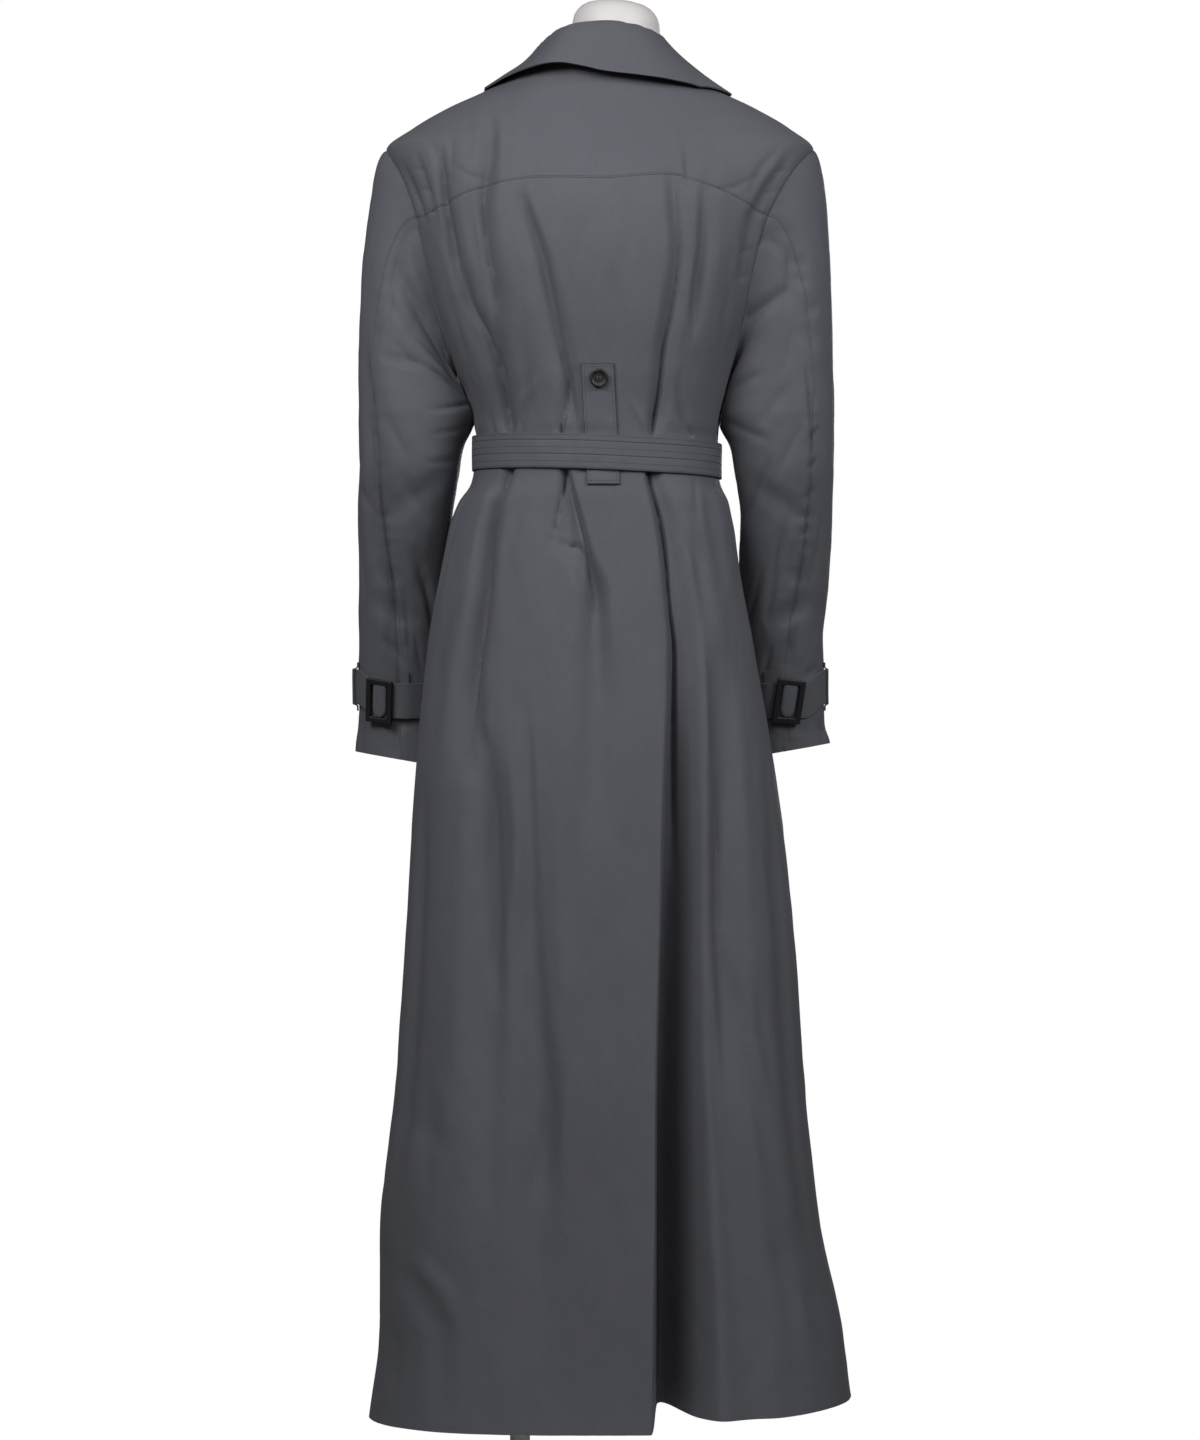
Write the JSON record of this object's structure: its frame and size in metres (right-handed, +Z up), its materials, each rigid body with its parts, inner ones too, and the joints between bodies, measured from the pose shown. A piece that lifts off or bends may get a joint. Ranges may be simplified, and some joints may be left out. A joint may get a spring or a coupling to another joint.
{
  "type": "trench coat on a dress form",
  "caption": "Floor-length belted trench coat, worn open-necked on a limbless dress form that stands on a pole and a round foot.",
  "frame": {"origin": "on the floor under the coat's centre line, on the underside of the foot", "axes": "+Z up, +X towards the wearer's left, -Y towards the coat's front"},
  "size_m": [0.4988, 0.37, 1.5247],
  "materials": {
    "cloth": "charcoal grey closely woven coat cloth with a slight soft lustre",
    "horn": "near-black horn-like buttons, polished",
    "buckle_plastic": "black moulded plastic buckles with a soft shine",
    "form_white": "off-white matt moulded shell",
    "steel": "satin steel pole and foot"
  },
  "bodies": {
    "root": {"back_panel": "cloth", "back_yoke": "cloth", "back_tab": "cloth", "collar": "cloth", "belt": "cloth", "front_left": "cloth", "front_right": "cloth", "lapel_left": "cloth", "lapel_right": "cloth", "sleeve_left_upper": "cloth", "sleeve_left_under": "cloth", "sleeve_right_upper": "cloth", "sleeve_right_under": "cloth", "cuff_strap_left": "cloth", "cuff_strap_right": "cloth", "cuff_loop_left_back": "cloth", "cuff_loop_left_outer": "cloth", "cuff_loop_right_back": "cloth", "cuff_loop_right_outer": "cloth", "back_tab_button": "horn", "front_button_1": "horn", "front_button_2": "horn", "front_button_3": "horn", "front_button_4": "horn", "belt_buckle": "buckle_plastic", "cuff_buckle_left": "buckle_plastic", "cuff_buckle_right": "buckle_plastic", "form_torso": "form_white", "form_pole": "steel", "form_base": "steel"}
  },
  "joints": []
}
